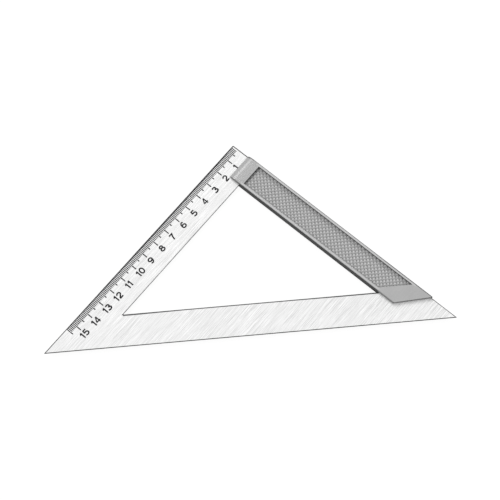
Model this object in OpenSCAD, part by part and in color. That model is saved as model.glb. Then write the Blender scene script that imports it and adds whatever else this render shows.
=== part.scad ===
// Set square of 45 degrees with a riveted stock.
// A thin steel blade has two bands in view and a third, the tang, clamped inside the stock.
// The stock is two mirrored halves, each with a studded grip pad bonded into its pocket.
// The origin is under the middle of the blade's outline, with the base edge along X.

/* [Blade] */
// Length of each leg, from the right angle to a sharp tip
leg_l = 175; // [120:5:300]
// Width of the band along the scale edge
scale_band_w = 20; // [14:0.5:28]
// Width of the band along the base edge
base_band_w = 20; // [14:0.5:28]
// Width of the tang that the stock clamps
tang_w = 14; // [11:0.5:16]
// Thickness of the blade
blade_t = 1; // [0.5:0.1:1.6]

/* [Stock] */
// Width of the stock, inward from the leg
stock_w = 17.8; // [16.4:0.2:24]
// Thickness of the whole stock
stock_t = 6; // [5:0.5:10]
// Distance from the scale edge to the foot of the nose
nose_gap = 12; // [8:0.5:15]
// Radius of the rounded nose
nose_r = 5; // [3.5:0.5:9]
// Distance from the base edge to the inner corner of the tail
tail_gap = 12; // [6:0.5:15]
// Angle between the tail's end face and the length of the stock
tail_angle = 48; // [42:1:58]

/* [Pocket] */
// Width of the rim on each long side of the pocket
rim_w = 1.6; // [1:0.1:3]
// Distance from the scale edge to the pocket
pocket_nose_gap = 22.2; // [21:0.2:40]
// Distance from the base edge to the pocket
pocket_tail_gap = 22.2; // [19:0.2:40]
// Thickness of metal left between the pocket and the blade
floor_t = 0.7; // [0.6:0.1:1.2]

/* [Grip] */
// Thickness of the pad under its studs
pad_t = 0.4; // [0.2:0.1:0.8]
// Height of the studs
stud_h = 0.45; // [0.2:0.05:0.7]
// Width of the flat on top of a stud
stud_flat_w = 0.5; // [0.2:0.1:0.9]
// Rows of studs across the pad
stud_rows = 10; // [7:1:14]
// Distance from the nose end of the pad to its first stud
stud_lead = 1.8; // [0:0.1:2.8]

/* [Rivets] */
// Number of rivets
rivet_count = 4; // [2:1:6]
// Diameter of the shank
rivet_d = 2.4; // [1.6:0.2:3]
// Diameter of the countersunk head
rivet_head_d = 3.5; // [3.2:0.1:5]
// Height of the countersunk head
rivet_head_h = 0.5; // [0.3:0.05:0.6]
// Distance from the leg to the line of rivets
rivet_inset = 8; // [6:0.5:10]
// Distance from each end of the pocket to the nearest rivet
rivet_margin = 12; // [6:1:20]

/* [Fits] */
// Gap round the grip pads and along the inner edges of the blade
seat_gap = 0.1; // [0.05:0.05:0.3]
// Gap round the rivets
rivet_gap = 0.05; // [0.02:0.01:0.1]

/* [Hidden] */
// Height of the triangle over its base edge, which is also half of that edge
altitude = leg_l / sqrt(2);
// Height of one half of the stock above the face of the blade
half_h = (stock_t - blade_t) / 2;
mid_z = stock_t / 2;
// Length of the nose, where its arc comes down from the flat of the stock
nose_l = sqrt(pow(nose_r, 2) - pow(nose_r - half_h, 2));
// Distance between rows of studs, and between the grooves that cut them at 45 degrees
pad_w = stock_w - 2 * (rim_w + seat_gap);
row_pitch = pad_w / stud_rows;
groove_pitch = row_pitch * sqrt(2);
// Distance between the first rivet and the last
rivet_run = pocket_tail_x(rivet_inset) - pocket_nose_gap - 2 * rivet_margin;
// Extra length of a cut past the face that it opens
over = 1;
// Sides of a full circle, at the rivets and at the nose
$fn = 32;
nose_fn = 96;

// Distance along the leg, at one depth, to the line that lies gap away from the base edge
function leg_reach(depth, gap) = leg_l - depth - gap * sqrt(2);
function pocket_tail_x(depth) = leg_reach(depth, pocket_tail_gap);

// Puts X along the stocked leg, from the right angle to the tip, and Y outward from it
module on_leg() {
    translate([0, altitude / 2, mid_z]) rotate(-45) children();
}

// Four-sided outline between two depths, from a start line to a line along the base edge
module leg_strip(start, shallow, deep, gap) {
    polygon([
        [start, -shallow],
        [leg_reach(shallow, gap), -shallow],
        [leg_reach(deep, gap), -deep],
        [start, -deep]
    ]);
}

module blade_outline() {
    polygon([[0, 0], [leg_l, 0], [0, -leg_l]]);
}

module window_outline() {
    polygon([
        [scale_band_w, -tang_w],
        [leg_reach(tang_w, base_band_w), -tang_w],
        [scale_band_w, -leg_reach(scale_band_w, base_band_w)]
    ]);
}

module stock_outline() {
    tail_x = leg_reach(stock_w, tail_gap);
    polygon([
        [nose_gap, 0],
        [tail_x + stock_w / tan(tail_angle), 0],
        [tail_x, -stock_w],
        [nose_gap, -stock_w]
    ]);
}

// Side view of one half: the arc of the nose runs out into the flat
module side_profile() {
    translate([nose_gap + nose_l, half_h - nose_r]) circle(nose_r, $fn = nose_fn);
    translate([nose_gap + nose_l, 0]) square([leg_l, half_h]);
}

module pocket_outline(inset) {
    leg_strip(
        pocket_nose_gap + inset,
        rim_w + inset,
        stock_w - rim_w - inset,
        pocket_tail_gap + inset
    );
}

// Fills the window side of the stock, where no blade lies between the halves
module lip_outline() {
    leg_strip(scale_band_w + seat_gap, tang_w + seat_gap, stock_w, base_band_w + seat_gap);
}

module at_rivets() {
    for (i = [0 : rivet_count - 1])
        translate([
            pocket_nose_gap + rivet_margin + i * rivet_run / (rivet_count - 1),
            -rivet_inset,
            0
        ]) children();
}

// Half of a rivet, from the middle of the blade to the face of its head.
// With a gap and a rise over its head, it is the hole for one.
module rivet_half(gap = 0, rise = 0) {
    head_z = blade_t / 2 + floor_t;
    rotate_extrude() polygon([
        [0, 0],
        [rivet_d / 2 + gap, 0],
        [rivet_d / 2 + gap, head_z - rivet_head_h],
        [rivet_head_d / 2 + gap, head_z],
        [rivet_head_d / 2 + gap, head_z + rise],
        [0, head_z + rise]
    ]);
}

module stock_half() {
    difference() {
        union() {
            translate([0, 0, blade_t / 2]) intersection() {
                linear_extrude(half_h) stock_outline();
                rotate([90, 0, 0]) linear_extrude(stock_w) side_profile();
            }
            linear_extrude(blade_t / 2) lip_outline();
        }
        translate([0, 0, blade_t / 2 + floor_t]) linear_extrude(half_h) pocket_outline(0);
        at_rivets() rivet_half(rivet_gap, over);
    }
}

// Parallel ridges with flat tops and V grooves between them, longer than the pad each way
module stud_ridges() {
    first = -stud_rows;
    last = ceil(altitude / groove_pitch);
    crests = [for (i = [first : last]) each [
        [(i - 0.5) * groove_pitch, pad_t],
        [i * groove_pitch - stud_flat_w / 2, pad_t + stud_h],
        [i * groove_pitch + stud_flat_w / 2, pad_t + stud_h]
    ]];
    rotate([90, 0, 0]) linear_extrude(2 * leg_l, center = true) polygon(concat(
        [[(first - 0.5) * groove_pitch, 0]],
        crests,
        [[(last + 0.5) * groove_pitch, pad_t], [(last + 0.5) * groove_pitch, 0]]
    ));
}

// Crossed ridges leave one stud wherever two crests meet
module grip_half() {
    first_stud = [pocket_nose_gap + seat_gap + stud_lead, -(rim_w + seat_gap), 0];
    translate([0, 0, blade_t / 2 + floor_t]) intersection() {
        linear_extrude(pad_t + stud_h) pocket_outline(seat_gap);
        translate(first_stud) rotate(45) stud_ridges();
        translate(first_stud) rotate(-45) stud_ridges();
    }
}

module blade() {
    color("gainsboro") on_leg() difference() {
        linear_extrude(blade_t, center = true) difference() {
            blade_outline();
            window_outline();
        }
        at_rivets() cylinder(h = blade_t + over, d = rivet_d + 2 * rivet_gap, center = true);
    }
}

module stock_front() {
    color("darkgray") on_leg() stock_half();
}

module stock_back() {
    color("darkgray") on_leg() mirror([0, 0, 1]) stock_half();
}

module grip_front() {
    color("gray") on_leg() grip_half();
}

module grip_back() {
    color("gray") on_leg() mirror([0, 0, 1]) grip_half();
}

module rivets() {
    color("silver") on_leg() at_rivets() {
        rivet_half();
        mirror([0, 0, 1]) rivet_half();
    }
}

blade();
stock_front();
stock_back();
grip_front();
grip_back();
rivets();
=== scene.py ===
"""A 45-degree set square: brushed steel blade, satin stock, studded grips and an inked scale.

Lengths are in metres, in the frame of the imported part: X along the base edge, Y towards the
right angle, Z out of the face that carries the scale.
"""

import math

import bmesh
import bpy
from mathutils import Matrix, Vector


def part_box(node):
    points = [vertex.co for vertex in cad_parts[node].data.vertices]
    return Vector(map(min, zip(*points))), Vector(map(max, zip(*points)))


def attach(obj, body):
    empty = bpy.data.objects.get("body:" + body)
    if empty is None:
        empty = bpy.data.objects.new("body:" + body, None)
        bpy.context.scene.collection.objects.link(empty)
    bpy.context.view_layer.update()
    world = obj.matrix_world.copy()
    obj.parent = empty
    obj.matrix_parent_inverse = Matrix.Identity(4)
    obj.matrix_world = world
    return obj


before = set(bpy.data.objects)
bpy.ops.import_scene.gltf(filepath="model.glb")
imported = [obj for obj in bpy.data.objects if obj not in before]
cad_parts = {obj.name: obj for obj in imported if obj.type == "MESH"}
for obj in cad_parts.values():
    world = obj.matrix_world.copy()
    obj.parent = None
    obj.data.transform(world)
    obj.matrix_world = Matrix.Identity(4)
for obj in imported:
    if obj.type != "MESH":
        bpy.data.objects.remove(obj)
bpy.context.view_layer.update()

bl_info = {
    "name": "Set Square Finish",
    "version": (1, 0, 0),
    "blender": (4, 5, 0),
    "location": "3D View > Sidebar > Set Square",
    "description": "Finishes the parts of a set square and prints its scale",
    "category": "Object",
}

MM = 0.001
# Points closer than this are one point
TINY = 0.001 * MM
BLADE_LOW, BLADE_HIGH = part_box("blade")
GRIP_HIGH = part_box("grip_front")[1]
# Middle of the blade's thickness, about which the stock and the grips are the same both ways
MID_Z = (BLADE_LOW.z + BLADE_HIGH.z) / 2
# Share of a 45-degree line's length that lies along X, and along Y
SLANT = math.sqrt(0.5)
# Distance from the origin to the line of each leg
LEG_DISTANCE = SLANT * BLADE_HIGH.y
# The scale edge runs down from the right angle at 45 degrees to the base edge. In its local frame
# X runs back along it to the right angle, Y runs outward across it, and Z is up from the face.
SCALE_TURN = math.radians(45)
SCALE_FRAME = Matrix.Translation((0, BLADE_HIGH.y, BLADE_HIGH.z)) @ Matrix.Rotation(SCALE_TURN, 4, "Z")

# Width of the band along the scale edge, and of the one along the base edge
BAND_WIDTH = 20 * MM
# Edge of the window along the base band, and its end at the scale band
WINDOW_BASE_Y = BLADE_LOW.y + BAND_WIDTH
WINDOW_BASE_X = WINDOW_BASE_Y - BLADE_HIGH.y + BAND_WIDTH / SLANT
# The dark line on that edge narrows from its corner over the first of these stretches along X, till
# it is this much wider than the others, and grows by as much again over the second
WINDOW_LINE_EXTRA = 0.12 * MM
CORNER_RUN = (WINDOW_BASE_X, WINDOW_BASE_X + 40 * MM)
STOCK_RUN = (20 * MM, 60 * MM)
# The dark line on the stocked leg has its stated width this far from the scale edge
LEG_LINE_PLACE = 105 * MM

# Stretches of the stock over which its finish changes, as two distances from the scale edge
NOSE_ARC = (15 * MM, 19 * MM)
POCKET_START = (19 * MM, 22 * MM)
TAIL_RUN = (105 * MM, 125 * MM)
# The same at the pocket's other end, as two distances from the base edge
POCKET_END = (20 * MM, 22 * MM)
# The same across the rims and the inner corner, as two distances from the leg
OUTER_RIM = (1.3 * MM, 1.7 * MM)
INNER_RIM = (16.1 * MM, 16.3 * MM)
SHADED_CORNER = (17.3 * MM, 17.6 * MM)

# The first stud, as distances from the scale edge and from the stocked leg
FIRST_STUD_ALONG = 24.1 * MM
FIRST_STUD_DEPTH = 1.7 * MM
STUD_X = (FIRST_STUD_ALONG - FIRST_STUD_DEPTH) * SLANT
STUD_Y = BLADE_HIGH.y - (FIRST_STUD_ALONG + FIRST_STUD_DEPTH) * SLANT
# Distance between rows of studs along the leg, and between neighbours along X and along Y
ROW_PITCH = 1.44 * MM
STUD_PITCH = ROW_PITCH / SLANT
# Where the painted shade between two studs lies, in parts of the pitch
SPOT_X = 0.42
SPOT_Y = 0.26
# Close to the pocket's two walls that stand towards the right angle, the painted light on the studs'
# tops is weaker and the pad is darker as painted shade, and both fade out between these distances from
# the scale edge and from the leg
LIT_CROWN_ALONG = (22.3 * MM, 26 * MM)
LIT_CROWN_DEPTH = (1.7 * MM, 5.5 * MM)
SHADED_ALONG = (22.8 * MM, 24.3 * MM)
SHADED_DEPTH = (3.6 * MM, 4.8 * MM)
# A stud's top is paler, as painted light, from the first of these depths under it, and fully from the
# second
CROWN = (0.25 * MM, 0.02 * MM)

# What all settings that are angles have, and all that are colours
ANGLE = {"subtype": "ANGLE", "unit": "ROTATION"}
COLOUR = {"subtype": "COLOR", "min": 0, "max": 1}


def sized(low, high):
    """Kind and bounds of a setting that is a length"""
    return {"subtype": "DISTANCE", "unit": "LENGTH", "min": low, "max": high}


class BladeSettings(bpy.types.PropertyGroup):
    """Sizes and tones of the blade's finish"""

    arris: bpy.props.FloatProperty(
        name="Arris",
        description="Width of the broken edges that face away from the right angle",
        default=0.2 * MM,
        **sized(0.05 * MM, 0.45 * MM),
    )
    far_arris: bpy.props.FloatProperty(
        name="Far Arris",
        description="Width of the broken edges that face towards the right angle",
        default=0.48 * MM,
        **sized(0.05 * MM, 0.49 * MM),
    )
    steel: bpy.props.FloatVectorProperty(
        name="Steel",
        description="Colour of the brushed faces",
        default=(1.0, 1.0, 1.0),
        **COLOUR,
    )
    # The edge colour is painted shade: the edge faces and the arris are near black to stand in for the
    # shade along them
    edge: bpy.props.FloatVectorProperty(
        name="Edge",
        description="Colour of the cut edges and of the arris",
        default=(0.03, 0.03, 0.03),
        **COLOUR,
    )


class StockSettings(bpy.types.PropertyGroup):
    """Sizes and tones of the stock, its grips and its rivets"""

    arris: bpy.props.FloatProperty(
        name="Arris",
        description="Width of the broken edges that face away from the right angle",
        default=0.12 * MM,
        **sized(0.05 * MM, 0.3 * MM),
    )
    far_arris: bpy.props.FloatProperty(
        name="Far Arris",
        description="Width of the broken edges that face towards the right angle",
        default=0.3 * MM,
        **sized(0.05 * MM, 0.4 * MM),
    )
    alloy: bpy.props.FloatVectorProperty(
        name="Alloy",
        description="Colour of the satin faces",
        default=(0.438, 0.438, 0.438),
        **COLOUR,
    )
    # The sides' colour is painted shade, much darker than the top
    side: bpy.props.FloatVectorProperty(
        name="Side",
        description="Colour of the upright sides, which aren't polished",
        default=(0.1, 0.1, 0.1),
        **COLOUR,
    )
    # A painted light: the sides over the bands are paler to stand in for the blade lighting them from
    # below
    lit_side: bpy.props.FloatVectorProperty(
        name="Lit Side",
        description="Colour of the sides over the bands, which the blade lights from below",
        default=(0.42, 0.42, 0.42),
        **COLOUR,
    )
    # The end's colour is painted shade, darker than the top and paler than the other sides
    end: bpy.props.FloatVectorProperty(
        name="End",
        description="Colour of the sawn end of the stock",
        default=(0.22, 0.22, 0.22),
        **COLOUR,
    )
    plastic: bpy.props.FloatVectorProperty(
        name="Plastic",
        description="Colour of the grip pads",
        default=(0.388, 0.388, 0.388),
        **COLOUR,
    )
    rivet: bpy.props.FloatVectorProperty(
        name="Rivet",
        description="Colour of the rivets",
        default=(0.6, 0.6, 0.6),
        **COLOUR,
    )


class ScaleSettings(bpy.types.PropertyGroup):
    """Sizes and tone of the inked scale"""

    first_mark: bpy.props.IntProperty(
        name="First Mark",
        description="Millimetres from the right angle to the first mark, clear of the broken edge",
        default=2,
        min=1,
        max=10,
    )
    last_mark: bpy.props.IntProperty(
        name="Last Mark",
        description="Millimetres from the right angle to the last mark",
        default=155,
        min=10,
        max=170,
    )
    mark_width: bpy.props.FloatProperty(
        name="Mark Width",
        description="Width of each mark",
        default=0.58 * MM,
        **sized(0.05 * MM, 0.6 * MM),
    )
    long_mark_width: bpy.props.FloatProperty(
        name="Long Mark Width",
        description="Width of the longer marks past the ends of the millimetre marks",
        default=0.7 * MM,
        **sized(0.05 * MM, 0.8 * MM),
    )
    base_line: bpy.props.FloatProperty(
        name="Base Line",
        description="Width of the inked line that joins the marks, where it is widest",
        default=0.66 * MM,
        **sized(0.05 * MM, 1.2 * MM),
    )
    base_line_end: bpy.props.FloatProperty(
        name="Base Line End",
        description="Width of that line at both of its ends",
        default=0.3 * MM,
        **sized(0.05 * MM, 1.2 * MM),
    )
    millimetre_mark: bpy.props.FloatProperty(
        name="Millimetre Mark",
        description="Distance from the scale edge to the end of a millimetre mark",
        default=4.0 * MM,
        **sized(1 * MM, 8 * MM),
    )
    half_mark: bpy.props.FloatProperty(
        name="Half Mark",
        description="Distance from the scale edge to the end of a half-centimetre mark",
        default=5.4 * MM,
        **sized(1 * MM, 9 * MM),
    )
    centimetre_mark: bpy.props.FloatProperty(
        name="Centimetre Mark",
        description="Distance from the scale edge to the end of a centimetre mark",
        default=7.25 * MM,
        **sized(1 * MM, 10 * MM),
    )
    numeral_top: bpy.props.FloatProperty(
        name="Numeral Top",
        description="Distance from the scale edge to the tops of the numerals",
        default=8.3 * MM,
        **sized(7 * MM, 12 * MM),
    )
    numeral_height: bpy.props.FloatProperty(
        name="Numeral Height",
        description="Height of the numerals",
        default=4.25 * MM,
        **sized(2 * MM, 6 * MM),
    )
    stroke: bpy.props.FloatProperty(
        name="Stroke",
        description="Width of the numerals' strokes",
        default=0.9 * MM,
        **sized(0.2 * MM, 1.2 * MM),
    )
    drift: bpy.props.FloatProperty(
        name="Drift",
        description="How much farther in the print lies at the right angle than at the last mark",
        default=0.4 * MM,
        **sized(0, 1 * MM),
    )
    ink_height: bpy.props.FloatProperty(
        name="Ink Height",
        description="Thickness of the ink over the steel",
        default=0.015 * MM,
        **sized(0.005 * MM, 0.1 * MM),
    )
    ink: bpy.props.FloatVectorProperty(
        name="Ink",
        description="Colour of the ink",
        default=(0.012, 0.012, 0.013),
        **COLOUR,
    )


class StageSettings(bpy.types.PropertyGroup):
    """Light, floor and camera"""

    key: bpy.props.FloatProperty(
        name="Key",
        description="Strength of the soft lamp behind the set square",
        default=1.1,
        min=0,
        max=20,
    )
    key_spread: bpy.props.FloatProperty(
        name="Key Spread",
        description="Angle that the soft lamp takes up, as seen from the set square",
        default=math.radians(30),
        min=0,
        max=math.radians(120),
        **ANGLE,
    )
    fill: bpy.props.FloatProperty(
        name="Fill",
        description="Strength of the broad lamp in front of the set square",
        default=0.65,
        min=0,
        max=20,
    )
    fill_spread: bpy.props.FloatProperty(
        name="Fill Spread",
        description="Angle that the broad lamp takes up, as seen from the set square",
        default=math.radians(80),
        min=0,
        max=math.radians(170),
        **ANGLE,
    )
    sky: bpy.props.FloatProperty(
        name="Sky",
        description="Strength of the even light from all round",
        default=0.555,
        min=0,
        max=2,
    )
    camera_distance: bpy.props.FloatProperty(
        name="Camera Distance",
        description="Distance from the camera to the face of the blade",
        default=0.9743,
        **sized(0.3, 5),
    )
    camera_lens: bpy.props.FloatProperty(
        name="Camera Lens",
        description="Focal length in millimetres",
        default=115.45,
        min=20,
        max=300,
    )


def feed(tree, socket, value):
    """Wires an input to another node's output, or sets its value"""
    if isinstance(value, bpy.types.NodeSocket):
        tree.links.new(value, socket)
    else:
        socket.default_value = value


def put(tree, kind, inputs=None, **settings):
    """Adds a node, sets its own settings, then feeds its inputs by name or number"""
    node = tree.nodes.new(kind)
    for name, value in settings.items():
        setattr(node, name, value)
    for key, value in (inputs or {}).items():
        feed(tree, node.inputs[key], value)
    return node


def maths(tree, operation, *values, clamp=False):
    """One Math node, and its output"""
    node = put(tree, "ShaderNodeMath", dict(enumerate(values)), operation=operation, use_clamp=clamp)
    return node.outputs[0]


def ramp(tree, value, low, high, at_low=0.0, at_high=1.0):
    """Smooth step of a value between two bounds"""
    bounds = {"Value": value, "From Min": low, "From Max": high, "To Min": at_low, "To Max": at_high}
    return put(tree, "ShaderNodeMapRange", bounds, interpolation_type="SMOOTHSTEP").outputs["Result"]


def between(tree, share, start, end):
    """A value that runs smoothly from start to end as the share goes from nought to one"""
    return ramp(tree, share, 0.0, 1.0, start, end)


def blend(tree, share, first, second):
    """One Mix node for colours, and its output"""
    # The inputs and outputs for colours share their names with other kinds, so they go by number
    colours = {0: share, 6: first, 7: second}
    return put(tree, "ShaderNodeMix", colours, data_type="RGBA", clamp_factor=True).outputs[2]


def opaque(colour, brighter=1.0):
    """A colour as a socket takes it, made that many times as bright"""
    return (*(min(1.0, part * brighter) for part in colour), 1.0)


def start_group(name, inputs, outputs):
    """An empty shader node group with named sockets, and its two ends"""
    tree = bpy.data.node_groups.new(name, "ShaderNodeTree")
    for socket, value in inputs.items():
        made = tree.interface.new_socket(socket, in_out="INPUT", socket_type="NodeSocketFloat")
        made.default_value = value
    for socket in outputs:
        tree.interface.new_socket(socket, in_out="OUTPUT", socket_type="NodeSocketFloat")
    return tree, tree.nodes.new("NodeGroupInput").outputs, tree.nodes.new("NodeGroupOutput").inputs


def add_noise(tree, place, scale, detail, roughness=0.5):
    """Noise in space, and its value"""
    sockets = {"Vector": place, "Scale": scale, "Detail": detail, "Roughness": roughness}
    return put(tree, "ShaderNodeTexNoise", sockets).outputs["Fac"]


def brushed_grain():
    """Streaks left by a belt, long one way and fine across it"""
    contrast = (0.38, 0.62)
    tree, given, made = start_group(
        "Brushed Grain",
        {"Turn": 0.0, "Length": 30 * MM, "Width": 0.5 * MM, "Shift": 0.0},
        ["Streak"],
    )
    place = put(tree, "ShaderNodeTexCoord").outputs["Object"]
    back = put(tree, "ShaderNodeCombineXYZ", {"Z": maths(tree, "MULTIPLY", given["Turn"], -1.0)})
    turned = put(
        tree,
        "ShaderNodeVectorRotate",
        {"Vector": place, "Rotation": back.outputs[0]},
        rotation_type="EULER_XYZ",
    )
    parts = put(tree, "ShaderNodeSeparateXYZ", {0: turned.outputs[0]}).outputs
    level = maths(tree, "DIVIDE", parts["Z"], given["Width"])
    stretched = put(
        tree,
        "ShaderNodeCombineXYZ",
        {
            "X": maths(tree, "DIVIDE", parts["X"], given["Length"]),
            "Y": maths(tree, "DIVIDE", parts["Y"], given["Width"]),
            "Z": maths(tree, "ADD", given["Shift"], level),
        },
    )
    noise = add_noise(tree, stretched.outputs[0], scale=1.0, detail=3.0, roughness=0.6)
    tree.links.new(ramp(tree, noise, *contrast), made["Streak"])
    return tree


def fine_mottle():
    """Grains and soft clouds of tone, the same each way"""
    contrast = (0.3, 0.7)
    tree, given, made = start_group(
        "Fine Mottle", {"Grain": 0.2 * MM, "Cloud": 6 * MM}, ["Grains", "Clouds"]
    )
    place = put(tree, "ShaderNodeTexCoord").outputs["Object"]
    for size, socket, detail in (("Grain", "Grains", 2.0), ("Cloud", "Clouds", 4.0)):
        noise = add_noise(tree, place, maths(tree, "DIVIDE", 1.0, given[size]), detail)
        tree.links.new(ramp(tree, noise, *contrast), made[socket])
    return tree


def upright_sides():
    """Masks of upright faces, of level ones without the broken edges, and of faces across Y"""
    tree, given, made = start_group("Upright Sides", {"Softness": 0.1}, ["Side", "Level", "End"])
    normal = put(tree, "ShaderNodeNewGeometry").outputs["True Normal"]
    parts = put(tree, "ShaderNodeSeparateXYZ", {0: normal}).outputs
    tilt = maths(tree, "ABSOLUTE", parts["Z"])
    end = maths(tree, "ABSOLUTE", parts["Y"])
    # A face is upright where the normal's Z part is below the first, level where it is above the
    # second, and across Y where its Y part is past the last two
    upright, level, across = 0.25, 0.999, (0.9, 0.98)
    tree.links.new(ramp(tree, end, *across), made["End"])
    leaning = maths(tree, "ADD", upright, given["Softness"])
    tree.links.new(ramp(tree, tilt, upright, leaning, at_low=1.0, at_high=0.0), made["Side"])
    sloping = maths(tree, "SUBTRACT", level, given["Softness"])
    tree.links.new(ramp(tree, tilt, sloping, level), made["Level"])
    return tree


def edge_line():
    """A dark line of painted shade along the edges of a face, wider by Away on edges that face the right
    angle
    """
    tree, given, made = start_group(
        "Edge Line", {"Radius": 0.5 * MM, "Away": 0.6, "Patch": 4 * MM}, ["Line"]
    )
    # How far a rounded normal turns where the line starts and where it is full, and the contrast
    # of the patches in which it is fainter
    turning, contrast = (0.12, 0.25), (0.3, 0.6)
    rounded = put(tree, "ShaderNodeBevel", {"Radius": given["Radius"]}, samples=8).outputs[0]
    smooth = put(tree, "ShaderNodeNewGeometry").outputs["Normal"]
    turn = put(tree, "ShaderNodeVectorMath", {0: rounded, 1: smooth}, operation="SUBTRACT").outputs[0]
    size = put(tree, "ShaderNodeVectorMath", {0: turn}, operation="LENGTH").outputs["Value"]
    north = put(tree, "ShaderNodeSeparateXYZ", {0: turn}).outputs["Y"]
    corner = ramp(tree, maths(tree, "MULTIPLY_ADD", north, given["Away"], size), *turning)
    place = put(tree, "ShaderNodeTexCoord").outputs["Object"]
    noise = add_noise(tree, place, maths(tree, "DIVIDE", 1.0, given["Patch"]), detail=4.0)
    patches = ramp(tree, noise, *contrast, at_low=0.8)
    tree.links.new(maths(tree, "MULTIPLY", corner, patches), made["Line"])
    return tree


def far_edges():
    """A dark line of painted shadow along the blade's edges that face the right angle, and how far in a
    point lies
    """
    tree, given, made = start_group(
        "Far Edges",
        {"Width": 0.64 * MM, "Blur": 0.05 * MM, "Taper": 0.0013, "Corner": 0.42 * MM},
        ["Line", "Depth", "Along", "Base"],
    )
    place = put(tree, "ShaderNodeTexCoord").outputs["Object"]
    parts = put(tree, "ShaderNodeSeparateXYZ", {0: place}).outputs
    tree.links.new(maths(tree, "SUBTRACT", parts["Y"], BLADE_LOW.y), made["Base"])
    inward = {}
    for name, side in (("Along", 1), ("Depth", -1)):
        vectors = {0: place, 1: (side * SLANT, -SLANT, 0)}
        across = put(tree, "ShaderNodeVectorMath", vectors, operation="DOT_PRODUCT").outputs["Value"]
        inward[name] = maths(tree, "ADD", across, LEG_DISTANCE)
        tree.links.new(inward[name], made[name])
    # The leg's line narrows from the right angle to the tip
    farther = maths(tree, "SUBTRACT", inward["Along"], LEG_LINE_PLACE)
    leg = maths(tree, "ADD", inward["Depth"], maths(tree, "MULTIPLY", farther, given["Taper"]))
    # The window's line is wider at both ends
    window = maths(tree, "SUBTRACT", WINDOW_BASE_Y, parts["Y"])
    above = maths(tree, "LESS_THAN", window, -TINY)
    beside = maths(tree, "LESS_THAN", parts["X"], WINDOW_BASE_X)
    at_corner = ramp(tree, parts["X"], *CORNER_RUN, given["Corner"], WINDOW_LINE_EXTRA)
    at_stock = ramp(tree, parts["X"], *STOCK_RUN, at_high=WINDOW_LINE_EXTRA)
    window = maths(tree, "SUBTRACT", window, maths(tree, "ADD", at_corner, at_stock))
    # Beside the window and above its base edge, the line is put out of reach
    window = maths(tree, "ADD", window, maths(tree, "MAXIMUM", beside, above))
    nearest = maths(tree, "MINIMUM", maths(tree, "MINIMUM", window, leg), inward["Along"])
    end = maths(tree, "ADD", given["Width"], given["Blur"])
    line = ramp(tree, nearest, given["Width"], end, at_low=1.0, at_high=0.0)
    tree.links.new(line, made["Line"])
    return tree


GROUP_MAKERS = {
    "Brushed Grain": brushed_grain,
    "Fine Mottle": fine_mottle,
    "Upright Sides": upright_sides,
    "Edge Line": edge_line,
    "Far Edges": far_edges,
}


def place_group(tree, name, values=None):
    """Puts one of the shared groups in a material, and makes it the first time"""
    group = bpy.data.node_groups.get(name) or GROUP_MAKERS[name]()
    return put(tree, "ShaderNodeGroup", values, node_tree=group).outputs


def start_material(name):
    """A material with an empty Principled shader"""
    material = bpy.data.materials.new(name)
    material.use_nodes = True
    tree = material.node_tree
    return material, tree, tree.nodes["Principled BSDF"]


def set_sockets(tree, shader, values):
    """Feeds the shader's inputs by name"""
    for key, value in values.items():
        feed(tree, shader.inputs[key], value)


def bump(tree, height, depth, strength):
    """Normal of a surface with that relief, in metres"""
    sockets = {"Strength": strength, "Distance": depth, "Height": height}
    return put(tree, "ShaderNodeBump", sockets).outputs["Normal"]


def brushed_steel(blade):
    """Belt-brushed faces, with painted shade on the edge faces, the arris and a line along the far edges
    """
    material, tree, shader = start_material("blade_steel")
    # Scratches cross the belt's own lines at this small angle
    skew = 0.1
    streaks = {}
    for kind, turn, length, width, shift in (
        ("hair", SCALE_TURN, 13 * MM, 0.24 * MM, 0.0),
        ("band", SCALE_TURN, 24 * MM, 0.34 * MM, 7.0),
        ("scratch", SCALE_TURN - skew, 12 * MM, 0.32 * MM, 13.0),
    ):
        sockets = {"Turn": turn, "Length": length, "Width": width, "Shift": shift}
        streaks[kind] = place_group(tree, "Brushed Grain", sockets)["Streak"]
    patches = place_group(tree, "Fine Mottle", {"Grain": 1 * MM, "Cloud": 14 * MM})["Clouds"]
    # Hairs and bands swing about their mean, and more strongly in some patches. Of the scratches
    # only the strongest show
    mean, rarity = 0.5, 4.0
    hair = maths(tree, "SUBTRACT", streaks["hair"], mean)
    band = maths(tree, "MULTIPLY_ADD", maths(tree, "SUBTRACT", streaks["band"], mean), patches, mean)
    scratch = maths(tree, "POWER", streaks["scratch"], rarity)
    # Their weights in the tone, which is lifted by a steady amount
    steady, band_weight, scratch_weight = 0.165, 0.6, 0.3
    hair_weight, extra_in_patches = 0.4, 0.5
    streak = maths(tree, "MULTIPLY_ADD", band, band_weight, steady)
    swing = maths(tree, "MULTIPLY_ADD", patches, extra_in_patches, hair_weight)
    streak = maths(tree, "MULTIPLY_ADD", hair, swing, streak)
    streak = maths(tree, "MULTIPLY_ADD", scratch, scratch_weight, streak, clamp=True)
    level = place_group(tree, "Upright Sides", {"Softness": 0.05})["Level"]
    line = place_group(tree, "Far Edges")["Line"]
    face = blend(tree, streak, opaque(blade.steel, brighter=0.66), opaque(blade.steel))
    # The edge colour, which is painted shade, in patches up to three times as bright
    edge = blend(tree, patches, opaque(blade.edge), opaque(blade.edge, brighter=3))
    # Painted shadow: a dark line in the edge colour along the edges that face the right angle
    line_share = 0.95
    edged = blend(tree, maths(tree, "MULTIPLY", line, line_share), face, edge)
    polished = between(tree, streak, start=0.19, end=0.14)
    sawn = between(tree, level, start=0.6, end=0.0)
    looks = {
        "Base Color": blend(tree, level, edge, edged),
        "Metallic": between(tree, level, start=0.8, end=0.1),
        "Roughness": maths(tree, "MAXIMUM", sawn, polished),
        "Normal": bump(tree, streak, depth=0.002 * MM, strength=0.6),
    }
    set_sockets(tree, shader, looks)
    return material


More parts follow.
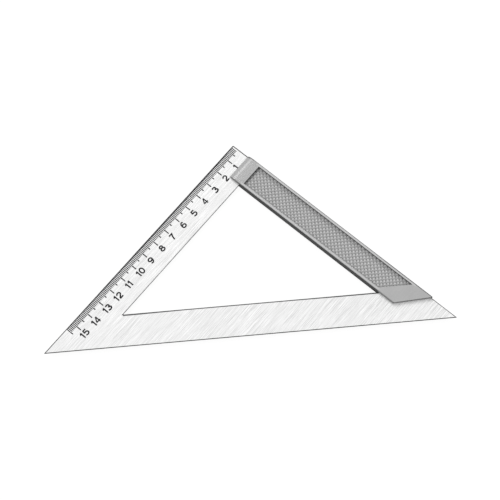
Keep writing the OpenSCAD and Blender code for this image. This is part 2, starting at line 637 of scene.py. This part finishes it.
def satin_alloy(stock):
    """Satin grey faces, with painted shade on the sides, at the inner corner and along the edges, and
    painted light on the sides over the bands
    """
    material, tree, shader = start_material("stock_alloy")
    mottle = place_group(tree, "Fine Mottle", {"Grain": 0.25 * MM, "Cloud": 9 * MM})
    brushing = {"Turn": SCALE_TURN, "Length": 14 * MM, "Width": 0.5 * MM}
    grain = place_group(tree, "Brushed Grain", brushing)["Streak"]
    faces = place_group(tree, "Upright Sides", {"Softness": 0.1})
    line = place_group(tree, "Edge Line", {"Radius": 0.6 * MM, "Away": 0.9, "Patch": 4 * MM})["Line"]
    edges = place_group(tree, "Far Edges")
    # The dark line of painted shade along the leg is widest on the nose, thin on the flat and thicker at
    # the tail
    nose_line = ramp(tree, edges["Along"], *NOSE_ARC, at_low=0.8 * MM, at_high=0.36 * MM)
    tail_line = ramp(tree, edges["Along"], *TAIL_RUN, at_high=0.14 * MM)
    line_blur = 0.04 * MM
    spare = maths(tree, "SUBTRACT", maths(tree, "ADD", nose_line, tail_line), edges["Depth"])
    leg_line = ramp(tree, spare, -line_blur, 0.0)
    # The rims are paler beside the pocket
    outer = ramp(tree, edges["Depth"], *OUTER_RIM, at_low=1.0, at_high=0.0)
    rim = maths(tree, "MAXIMUM", outer, ramp(tree, edges["Depth"], *INNER_RIM))
    for distance, bounds in (("Along", POCKET_START), ("Base", POCKET_END)):
        rim = maths(tree, "MULTIPLY", rim, ramp(tree, edges[distance], *bounds))
    tone = 0.0
    for pattern, weight in ((mottle["Grains"], 0.3), (grain, 0.3), (mottle["Clouds"], 0.4)):
        tone = maths(tree, "MULTIPLY_ADD", pattern, weight, tone)
    satin = blend(tree, tone, opaque(stock.alloy, brighter=0.89), opaque(stock.alloy))
    satin = blend(tree, rim, satin, opaque(stock.alloy, brighter=1.18))
    # The upright sides are dark as painted shade
    side_shade = blend(tree, mottle["Grains"], opaque(stock.side, brighter=0.8), opaque(stock.side))
    # Over the bands the sides take the paler colour, a painted light from the blade below
    nearest = maths(tree, "MINIMUM", edges["Along"], edges["Base"])
    on_bands = maths(tree, "LESS_THAN", nearest, BAND_WIDTH)
    side = blend(tree, on_bands, side_shade, opaque(stock.lit_side))
    body = blend(tree, faces["Side"], satin, side)
    # The end faces take their own colour of painted shade
    body = blend(tree, faces["End"], body, opaque(stock.end))
    # Painted shade darkens the inner corner, and a little along the other edges
    corner_share, edge_share = 0.5, 0.15
    corner = ramp(tree, edges["Depth"], *SHADED_CORNER)
    painted_shade = maths(tree, "MULTIPLY_ADD", corner, corner_share, maths(tree, "MULTIPLY", line, edge_share))
    body = blend(tree, painted_shade, body, side_shade)
    polished = between(tree, mottle["Grains"], start=0.18, end=0.24)
    looks = {
        "Base Color": blend(tree, leg_line, body, side_shade),
        "Roughness": maths(tree, "MAXIMUM", faces["Side"], polished),
        "Normal": bump(tree, mottle["Grains"], depth=0.01 * MM, strength=0.5),
    }
    set_sockets(tree, shader, looks)
    return material


def stud_spots(tree, parts):
    """A spot of one in the same place between each stud and the next, fading to nought round it"""
    spots = 1.0
    turn = math.tau / STUD_PITCH
    for axis, first in (("X", STUD_X + SPOT_X * STUD_PITCH), ("Y", STUD_Y + SPOT_Y * STUD_PITCH)):
        turns = maths(tree, "MULTIPLY_ADD", parts[axis], turn, -first * turn)
        wave = maths(tree, "MULTIPLY_ADD", maths(tree, "COSINE", turns), 0.5, 0.5)
        spots = maths(tree, "MULTIPLY", wave, spots)
    return spots


def studded_plastic(stock):
    """Matt moulded plastic, with painted light on the studs' tops and painted shade beside the studs and
    near the pocket's walls
    """
    material, tree, shader = start_material("grip_plastic")
    mottle = place_group(tree, "Fine Mottle", {"Grain": 0.12 * MM, "Cloud": 12 * MM})
    edges = place_group(tree, "Far Edges")
    place = put(tree, "ShaderNodeTexCoord").outputs["Object"]
    parts = put(tree, "ShaderNodeSeparateXYZ", {0: place}).outputs
    normal = put(tree, "ShaderNodeNewGeometry").outputs["True Normal"]
    facing = put(tree, "ShaderNodeSeparateXYZ", {0: normal}).outputs["X"]
    # The sides of the studs are darker towards the tail as painted shade and paler towards the scale as
    # painted light. They start to count as sides and do so fully at these X parts of their normals
    start, full = 0.1, 0.4
    to_tail = ramp(tree, facing, start, full)
    to_scale = ramp(tree, facing, -full, -start, at_low=1.0, at_high=0.0)
    skin = blend(tree, mottle["Clouds"], opaque(stock.plastic, brighter=0.9), opaque(stock.plastic))
    skin = blend(tree, to_tail, skin, opaque(stock.plastic, brighter=0.85))
    skin = blend(tree, to_scale, skin, opaque(stock.plastic, brighter=1.2))
    # Painted shade darkens a spot beside each stud
    painted_shade_share = 0.74
    painted_shade = maths(tree, "MULTIPLY", stud_spots(tree, parts), painted_shade_share)
    skin = blend(tree, painted_shade, skin, opaque(stock.plastic, brighter=0.35))
    reach = maths(tree, "ABSOLUTE", maths(tree, "SUBTRACT", parts["Z"], MID_Z))
    crown = ramp(tree, reach, *(GRIP_HIGH.z - MID_Z - down for down in CROWN))
    # Painted light makes the studs' tops paler, and painted shade makes them less so near the pocket's
    # far walls
    lit_crowns = crown
    for distance, bounds in (("Along", LIT_CROWN_ALONG), ("Depth", LIT_CROWN_DEPTH)):
        lit_crowns = maths(tree, "MULTIPLY", lit_crowns, ramp(tree, edges[distance], *bounds, at_low=0.1))
    skin = blend(tree, lit_crowns, skin, opaque(stock.plastic, brighter=1.48))
    # Painted shade darkens the whole pad near the pocket's two far walls
    shown = 1.0
    for distance, bounds, least in (("Along", SHADED_ALONG, 0.5), ("Depth", SHADED_DEPTH, 0.87)):
        shown = maths(tree, "MULTIPLY", shown, ramp(tree, edges[distance], *bounds, at_low=least))
    looks = {
        "Base Color": blend(tree, shown, opaque((0, 0, 0)), skin),
        "Roughness": between(tree, mottle["Grains"], start=0.5, end=0.68),
        "Normal": bump(tree, mottle["Grains"], depth=0.01 * MM, strength=0.5),
    }
    set_sockets(tree, shader, looks)
    return material


def bare_rivet(stock):
    """Bare metal, set flush and lightly hammered"""
    material, tree, shader = start_material("rivet_metal")
    clouds = place_group(tree, "Fine Mottle", {"Grain": 0.3 * MM, "Cloud": 1.5 * MM})["Clouds"]
    looks = {
        "Base Color": blend(tree, clouds, opaque(stock.rivet, brighter=0.8), opaque(stock.rivet)),
        "Metallic": 1.0,
        "Roughness": between(tree, clouds, start=0.35, end=0.5),
        "Normal": bump(tree, clouds, depth=0.03 * MM, strength=0.5),
    }
    set_sockets(tree, shader, looks)
    return material


def printed_ink(scale):
    """Near-black ink with a slightly uneven coat"""
    material, tree, shader = start_material("scale_ink")
    mottle = place_group(tree, "Fine Mottle", {"Grain": 0.08 * MM, "Cloud": 5 * MM})
    thin = opaque(scale.ink, brighter=2.2)
    looks = {
        "Base Color": blend(tree, mottle["Clouds"], opaque(scale.ink), thin),
        "Roughness": between(tree, mottle["Grains"], start=0.5, end=0.7),
        "Specular IOR Level": 0.1,
        "Normal": bump(tree, mottle["Grains"], depth=0.003 * MM, strength=0.4),
    }
    set_sockets(tree, shader, looks)
    return material


def dress(node, material):
    """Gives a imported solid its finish"""
    node.data.materials.clear()
    node.data.materials.append(material)


# Corners sharper than this are broken, and shading runs smoothly over the others
SHARP_ANGLE = math.radians(30)
# Shorter edges, such as those that an arc's outline is made of, aren't broken
SHORTEST_BROKEN = 0.5 * MM


def is_more(tree, value, bound):
    """True where a value is above a bound, in geometry nodes"""
    sides = {"A": value, "B": bound}
    node = put(tree, "FunctionNodeCompare", sides, data_type="FLOAT", operation="GREATER_THAN")
    return node.outputs[0]


def weld_and_smooth():
    """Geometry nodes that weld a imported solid, smooth its arcs and weigh its edges for breaking"""
    tree = bpy.data.node_groups.new("Weld And Smooth", "GeometryNodeTree")
    tree.is_modifier = True
    for way in ("INPUT", "OUTPUT"):
        tree.interface.new_socket("Geometry", in_out=way, socket_type="NodeSocketGeometry")
    tree.interface.new_socket("Near Share", in_out="INPUT", socket_type="NodeSocketFloat")
    given, near_share = list(tree.nodes.new("NodeGroupInput").outputs)[:2]
    made = tree.nodes.new("NodeGroupOutput").inputs[0]
    closed = put(tree, "GeometryNodeMergeByDistance", {"Geometry": given, "Distance": TINY}).outputs[0]
    angle = put(tree, "GeometryNodeInputMeshEdgeAngle").outputs["Unsigned Angle"]
    sharp = is_more(tree, angle, SHARP_ANGLE)
    smooth = put(
        tree,
        "GeometryNodeSetMeshNormal",
        {"Mesh": closed, "Remove Custom": True, "Edge Sharpness": sharp, "Face Sharpness": False},
        mode="SHARPNESS",
    ).outputs[0]
    ends = put(tree, "GeometryNodeInputMeshEdgeVertices").outputs
    length = put(
        tree,
        "ShaderNodeVectorMath",
        {0: ends["Position 1"], 1: ends["Position 2"]},
        operation="DISTANCE",
    ).outputs["Value"]
    long = is_more(tree, length, SHORTEST_BROKEN)
    normal = put(tree, "GeometryNodeInputNormal").outputs[0]
    north = put(tree, "ShaderNodeSeparateXYZ", {0: normal}).outputs["Y"]
    share = maths(tree, "MAXIMUM", maths(tree, "GREATER_THAN", north, 0.0), near_share)
    weight = maths(tree, "MULTIPLY", maths(tree, "MULTIPLY", sharp, long), share)
    broken = put(
        tree,
        "GeometryNodeStoreNamedAttribute",
        {"Geometry": smooth, "Name": "bevel_weight_edge", "Value": weight},
        data_type="FLOAT",
        domain="EDGE",
    ).outputs[0]
    tree.links.new(broken, made)
    return tree


def break_edges(node, near_width, far_width):
    """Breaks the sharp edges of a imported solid, and keeps its faces and arcs evenly shaded"""
    weld = node.modifiers.new("Weld", "NODES")
    weld.node_group = bpy.data.node_groups.get("Weld And Smooth") or weld_and_smooth()
    weld[weld.node_group.interface.items_tree["Near Share"].identifier] = near_width / far_width
    bevel = node.modifiers.new("Arris", "BEVEL")
    bevel.width = far_width
    bevel.segments = 1
    bevel.limit_method = "WEIGHT"
    even = node.modifiers.new("Even", "WEIGHTED_NORMAL")
    even.mode = "FACE_AREA_WITH_ANGLE"
    even.keep_sharp = True


def arc(centre, radii, start, end, step=12):
    """Points on an ellipse from one angle to another, in degrees"""
    count = max(2, round(abs(end - start) / step))
    turns = [math.radians(start + (end - start) * i / count) for i in range(count + 1)]
    return [(centre[0] + radii[0] * math.cos(t), centre[1] + radii[1] * math.sin(t)) for t in turns]


def add_prism(shape, outline, low, high):
    """A solid with that flat outline, from one height to another"""
    count = len(outline)
    under = [shape.verts.new((x, y, low)) for x, y in outline]
    over = [shape.verts.new((x, y, high)) for x, y in outline]
    for i in range(count):
        shape.faces.new((under[i], under[(i + 1) % count], over[(i + 1) % count], over[i]))
    shape.faces.new(under[::-1])
    shape.faces.new(over)


# A path is a ring where its ends lie closer than this part of its width
RING_GAP = 0.1
# Corners aren't mitred to their full length where the cosine of half their turn is below this
SHARPEST_MITRE = 0.35


def add_ribbon(shape, path, width, low, high):
    """A raised stroke of constant width along a path, with mitred corners and square ends"""
    points = [Vector(p) for p in path]
    closed = (points[0] - points[-1]).length < width * RING_GAP
    if closed:
        points.pop()
    count = len(points)
    sections = []
    for i, point in enumerate(points):
        before = points[i - 1] if closed or i else point
        after = points[(i + 1) % count] if closed or i < count - 1 else point
        ahead = (after - point).normalized() if after != point else None
        behind = (point - before).normalized() if before != point else None
        along = ((ahead or behind) + (behind or ahead)).normalized()
        across = Vector((-along.y, along.x))
        mitre = 1 / max(SHARPEST_MITRE, abs(along.dot(ahead or behind)))
        left = point + across * width / 2 * mitre
        right = point - across * width / 2 * mitre
        corners = [(right, low), (left, low), (left, high), (right, high)]
        sections.append([shape.verts.new((p.x, p.y, z)) for p, z in corners])
    for i in range(count if closed else count - 1):
        here, there = sections[i], sections[(i + 1) % count]
        for j in range(len(here)):
            k = (j + 1) % len(here)
            shape.faces.new((here[j], here[k], there[k], there[j]))
    if not closed:
        shape.faces.new(sections[0][::-1])
        shape.faces.new(sections[-1])


# Numerals are drawn one unit high, as lists of strokes along their middle lines, and each digit
# takes up its advance in width
ADVANCE = {"1": 0.545}
USUAL_ADVANCE = 0.777
TOP, BASE, LEFT, RIGHT = 0.91, 0.09, 0.115, 0.662
MIDDLE = (LEFT + RIGHT) / 2
HALF_W = (RIGHT - LEFT) / 2
HALF_H = (TOP - BASE) / 2
SIX = [
    arc((MIDDLE + 0.01, 0.68), (0.225, TOP - 0.68), 28, 100)
    + arc((MIDDLE + 0.03, 0.42), (HALF_W + 0.03, TOP - 0.42), 112, 190)
    + arc((MIDDLE, 0.32), (HALF_W, 0.32 - BASE), 190, 360),
    arc((MIDDLE, 0.32), (HALF_W, 0.25), -14, 165),
]
STROKES = {
    "0": [arc((MIDDLE, 0.5), (HALF_W, HALF_H), 90, 450)],
    "1": [[(0.3, 0), (0.3, 1)], [(0.03, 0.765), (0.15, 0.79), (0.23, 0.86), (0.265, 0.98)]],
    "2": [
        arc((MIDDLE - 0.005, 0.665), (HALF_W - 0.015, TOP - 0.665), 172, -38)
        + [(0.46, 0.42), (0.24, 0.23), (0.165, BASE)],
        [(0.1, BASE), (0.69, BASE)],
    ],
    "3": [
        arc((0.365, 0.715), (0.22, TOP - 0.715), 155, -78) + [(0.33, 0.52)],
        [(0.33, 0.52)] + arc((0.37, 0.305), (HALF_W + 0.01, 0.305 - BASE), 88, -150),
    ],
    "4": [[(0.50, 0.97), (0.105, 0.30)], [(0.06, 0.27), (0.72, 0.27)], [(0.52, 0), (0.52, 1)]],
    "5": [
        [(0.64, TOP), (0.215, TOP), (0.165, 0.475)],
        arc((0.375, 0.335), (HALF_W + 0.01, 0.335 - BASE), 135, -147),
    ],
    "6": SIX,
    "7": [[(0.08, TOP), (0.665, TOP), (0.43, 0.52), (0.30, 0)]],
    "8": [
        arc((MIDDLE, 0.735), (0.215, TOP - 0.735), 90, 450),
        arc((MIDDLE, 0.31), (HALF_W, 0.31 - BASE), 90, 450),
    ],
    "9": [[(2 * MIDDLE - x, 1 - y) for x, y in stroke] for stroke in SIX],
}
# How much wider and how much bolder each digit is cut than its strokes say
USUAL_CUT = (1.08, 1.0)
CUT = {"1": (1.0, 0.98), "3": (1.17, 1.08), "4": (1.12, 0.85), "5": (1.11, 1.0), "7": (0.98, 1.0)}
# Millimetres by which some numerals stand off their mark, towards the right angle
NUDGE = {
    2: 0.1, 3: 0.1, 4: 0.24, 5: 0.06, 7: -0.08, 8: 0.2, 10: 0.42, 12: 0.05, 13: 0.15, 14: -0.15, 15: -0.2
}
# Each stroke of a numeral lies this part of the ink's height over the one before it
LIFT_STEP = 1 / 8

# The line along the scale edge starts and is widest at these distances from the right angle
LINE_START = 0.4 * MM
LINE_WIDEST = (10 * MM, 80 * MM)
# It stands higher than the marks that it joins, by this factor
LINE_LIFT = 1.1


def mesh_from(shape, name, place):
    """Closes a bmesh into a mesh, turned to its place"""
    shape.transform(place)
    bmesh.ops.recalc_face_normals(shape, faces=shape.faces)
    mesh = bpy.data.meshes.new(name)
    shape.to_mesh(mesh)
    shape.free()
    return mesh


def print_piece(shape, name, scale):
    """Sets a print on the scale edge, inks it and lets it ride on the one body"""
    mesh = mesh_from(shape, name, SCALE_FRAME)
    mesh.materials.append(bpy.data.materials.get("scale_ink") or printed_ink(scale))
    piece = bpy.data.objects.new(name, mesh)
    bpy.context.scene.collection.objects.link(piece)
    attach(piece, "root")


def print_drift(millimetre, scale):
    """Distance that the print has moved inward at one mark"""
    return scale.drift * (1 - millimetre / scale.last_mark)


def mark_reach(millimetre, scale):
    """Distance from the scale edge to the end of a mark"""
    drift = print_drift(millimetre, scale)
    if millimetre % 10 == 0:
        return scale.centimetre_mark + drift
    return drift + (scale.half_mark if millimetre % 5 == 0 else scale.millimetre_mark)


def place_stroke(stroke, left, foot, height, wider):
    """A stroke of a numeral at its size and place, widened about its middle"""
    return [(left + (MIDDLE + (x - MIDDLE) * wider) * height, foot + y * height) for x, y in stroke]


class SETSQUARE_OT_blade(bpy.types.Operator):
    """Brushes the blade and breaks its edges"""

    bl_idname = "setsquare.blade"
    bl_label = "Finish Blade"

    def execute(self, context):
        blade = context.scene.setsquare_blade
        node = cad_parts["blade"]
        dress(node, brushed_steel(blade))
        break_edges(node, blade.arris, blade.far_arris)
        return {"FINISHED"}


class SETSQUARE_OT_stock(bpy.types.Operator):
    """Gives both halves of the stock their satin finish and broken edges"""

    bl_idname = "setsquare.stock"
    bl_label = "Finish Stock"

    def execute(self, context):
        stock = context.scene.setsquare_stock
        material = satin_alloy(stock)
        for name in ("stock_front", "stock_back"):
            dress(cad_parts[name], material)
            break_edges(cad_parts[name], stock.arris, stock.far_arris)
        return {"FINISHED"}


class SETSQUARE_OT_grips(bpy.types.Operator):
    """Gives both grip pads their moulded finish"""

    bl_idname = "setsquare.grips"
    bl_label = "Finish Grips"

    def execute(self, context):
        material = studded_plastic(context.scene.setsquare_stock)
        for name in ("grip_front", "grip_back"):
            dress(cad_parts[name], material)
        return {"FINISHED"}


class SETSQUARE_OT_rivets(bpy.types.Operator):
    """Gives the rivets their bare metal"""

    bl_idname = "setsquare.rivets"
    bl_label = "Finish Rivets"

    def execute(self, context):
        dress(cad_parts["rivets"], bare_rivet(context.scene.setsquare_stock))
        return {"FINISHED"}


class SETSQUARE_OT_marks(bpy.types.Operator):
    """Prints the millimetre, half-centimetre and centimetre marks, and the line that joins them"""

    bl_idname = "setsquare.marks"
    bl_label = "Print Marks"

    def execute(self, context):
        scale = context.scene.setsquare_scale
        start = context.scene.setsquare_blade.far_arris
        ink = scale.ink_height
        shape = bmesh.new()
        for millimetre in range(scale.first_mark, scale.last_mark + 1):
            x = -millimetre * MM
            short = -scale.millimetre_mark - print_drift(millimetre, scale)
            end = -mark_reach(millimetre, scale)
            add_ribbon(shape, [(x, -start), (x, short)], scale.mark_width, -ink, ink)
            if end < short:
                add_ribbon(shape, [(x, short), (x, end)], scale.long_mark_width, -ink, ink)
        last = scale.last_mark * MM + scale.long_mark_width / 2
        widths = [(LINE_START, scale.base_line_end)]
        widths += [(place, scale.base_line) for place in LINE_WIDEST]
        widths += [(last, scale.base_line_end)]
        outline = [(-LINE_START, -start), (-last, -start)]
        outline += [(-place, -start - width) for place, width in reversed(widths)]
        add_prism(shape, outline, -ink, ink * LINE_LIFT)
        print_piece(shape, "scale_marks", scale)
        return {"FINISHED"}


class SETSQUARE_OT_numerals(bpy.types.Operator):
    """Prints the numerals of the scale, each at its centimetre mark"""

    bl_idname = "setsquare.numerals"
    bl_label = "Print Numerals"

    def execute(self, context):
        scale = context.scene.setsquare_scale
        height = scale.numeral_height
        shape = bmesh.new()
        for centimetre in range(1, scale.last_mark // 10 + 1):
            word = str(centimetre)
            foot = -(scale.numeral_top + height + print_drift(10 * centimetre, scale))
            spans = [ADVANCE.get(digit, USUAL_ADVANCE) * height for digit in word]
            left = -centimetre * 10 * MM - sum(spans) / 2 + NUDGE.get(centimetre, 0) * MM
            for digit, span in zip(word, spans):
                wider, bolder = CUT.get(digit, USUAL_CUT)
                for order, stroke in enumerate(STROKES[digit]):
                    path = place_stroke(stroke, left, foot, height, wider)
                    lift = scale.ink_height * (1 + order * LIFT_STEP)
                    add_ribbon(shape, path, scale.stroke * bolder, -scale.ink_height, lift)
                left += span
        print_piece(shape, "scale_numerals", scale)
        return {"FINISHED"}


# Directions are degrees round from the front towards the right, and degrees above the floor
CAMERA_DIRECTION = (-5.23, 70.39)
KEY_DIRECTION = (-163, 52)
FILL_DIRECTION = (0, 60)
# The camera looks at this point of the blade's face
CAMERA_TARGET = Vector((4.2 * MM, -8.02 * MM, BLADE_HIGH.z))
# Width of the camera's film in millimetres
FILM_WIDTH = 36
# Only the direction of these lamps matters, so any distance will do
LAMP_DISTANCE = 0.9
FLOOR_RADIUS = 3
FLOOR_GAP = 0.05 * MM
# Greys of the floor as it lights the set square and as it is seen, and the glow that whitens it
FLOOR_BOUNCE = 0.2
FLOOR_SEEN = 0.15
FLOOR_GLOW = 0.9


def aim(thing, target, direction, distance):
    """Places a camera or lamp in that direction from a point, looking at it"""
    turn, rise = (math.radians(angle) for angle in direction)
    back = Vector((math.sin(turn) * math.cos(rise), -math.cos(turn) * math.cos(rise), math.sin(rise)))
    thing.location = target + back * distance
    thing.rotation_mode = "QUATERNION"
    thing.rotation_quaternion = (-back).to_track_quat("-Z", "Y")
    bpy.context.scene.collection.objects.link(thing)


def add_lamp(name, strength, spread, direction):
    """A soft lamp far away on that side"""
    lamp = bpy.data.lights.new(name, "SUN")
    lamp.energy = strength
    lamp.angle = spread
    aim(bpy.data.objects.new(name, lamp), Vector((0, 0, 0)), direction, LAMP_DISTANCE)


def add_camera(lens, distance):
    """A camera high in front of the set square"""
    film = bpy.data.cameras.new("camera")
    film.lens = lens
    film.sensor_width = FILM_WIDTH
    camera = bpy.data.objects.new("camera", film)
    aim(camera, CAMERA_TARGET, CAMERA_DIRECTION, distance)
    bpy.context.scene.camera = camera


def seen_plainly(tree):
    """One for rays from the camera and for those that gloss or glass sends on"""
    path = put(tree, "ShaderNodeLightPath").outputs
    direct = maths(tree, "MAXIMUM", path["Is Camera Ray"], path["Is Glossy Ray"])
    return maths(tree, "MAXIMUM", direct, path["Is Transmission Ray"])


def light_sky(strength):
    """Even dim light from all round, which shows as white"""
    world = bpy.data.worlds.new("studio")
    world.use_nodes = True
    tree = world.node_tree
    tree.nodes.clear()
    shown = {"Value": seen_plainly(tree), "To Min": strength, "To Max": 1.0}
    amount = put(tree, "ShaderNodeMapRange", shown).outputs["Result"]
    sky = put(tree, "ShaderNodeBackground", {"Color": (1, 1, 1, 1), "Strength": amount})
    put(tree, "ShaderNodeOutputWorld", {"Surface": sky.outputs[0]})
    bpy.context.scene.world = world


def pale_floor():
    """A pale floor, white where nothing shades it, that keeps a soft shadow"""
    material = bpy.data.materials.new("pale_floor")
    material.use_nodes = True
    tree = material.node_tree
    tree.nodes.clear()
    bounce, lit = (
        put(tree, "ShaderNodeBsdfDiffuse", {"Color": opaque([grey] * 3)}).outputs[0]
        for grey in (FLOOR_BOUNCE, FLOOR_SEEN)
    )
    glow = put(tree, "ShaderNodeEmission", {"Strength": FLOOR_GLOW}).outputs[0]
    seen = put(tree, "ShaderNodeAddShader", {0: lit, 1: glow}).outputs[0]
    mixed = put(tree, "ShaderNodeMixShader", {0: seen_plainly(tree), 1: bounce, 2: seen}).outputs[0]
    put(tree, "ShaderNodeOutputMaterial", {"Surface": mixed})
    return material


def lay_floor():
    """A round floor just under the set square"""
    shape = bmesh.new()
    bmesh.ops.create_circle(shape, cap_ends=True, segments=64, radius=FLOOR_RADIUS)
    mesh = mesh_from(shape, "floor", Matrix.Translation((0, 0, -FLOOR_GAP)))
    mesh.materials.append(pale_floor())
    floor = bpy.data.objects.new("floor", mesh)
    bpy.context.scene.collection.objects.link(floor)


class SETSQUARE_OT_stage(bpy.types.Operator):
    """Sets up the floor, the soft light and the camera"""

    bl_idname = "setsquare.stage"
    bl_label = "Set Stage"

    def execute(self, context):
        stage = context.scene.setsquare_stage
        lay_floor()
        light_sky(stage.sky)
        add_lamp("key", stage.key, stage.key_spread, KEY_DIRECTION)
        add_lamp("fill", stage.fill, stage.fill_spread, FILL_DIRECTION)
        add_camera(stage.camera_lens, stage.camera_distance)
        context.scene.view_settings.view_transform = "Standard"
        return {"FINISHED"}


OPERATORS = (
    SETSQUARE_OT_blade,
    SETSQUARE_OT_stock,
    SETSQUARE_OT_grips,
    SETSQUARE_OT_rivets,
    SETSQUARE_OT_marks,
    SETSQUARE_OT_numerals,
    SETSQUARE_OT_stage,
)


class SETSQUARE_PT_panel(bpy.types.Panel):
    """Lists the steps that finish the set square"""

    bl_label = "Set Square"
    bl_idname = "SETSQUARE_PT_panel"
    bl_space_type = "VIEW_3D"
    bl_region_type = "UI"
    bl_category = "Set Square"

    def draw(self, context):
        for operator in OPERATORS:
            self.layout.operator(operator.bl_idname)


SETTINGS = {
    "setsquare_blade": BladeSettings,
    "setsquare_stock": StockSettings,
    "setsquare_scale": ScaleSettings,
    "setsquare_stage": StageSettings,
}


def register():
    """Registers the settings, the steps and the panel"""
    for group in SETTINGS.values():
        bpy.utils.register_class(group)
    for name, group in SETTINGS.items():
        setattr(bpy.types.Scene, name, bpy.props.PointerProperty(type=group))
    for operator in OPERATORS:
        bpy.utils.register_class(operator)
    bpy.utils.register_class(SETSQUARE_PT_panel)


def unregister():
    """Takes them all away again"""
    bpy.utils.unregister_class(SETSQUARE_PT_panel)
    for operator in reversed(OPERATORS):
        bpy.utils.unregister_class(operator)
    for name in SETTINGS:
        delattr(bpy.types.Scene, name)
    for group in reversed(list(SETTINGS.values())):
        bpy.utils.unregister_class(group)


def main():
    """Finishes the set square step by step"""
    register()
    for operator in OPERATORS:
        family, step = operator.bl_idname.split(".")
        getattr(getattr(bpy.ops, family), step)()


if __name__ == "__main__":
    main()
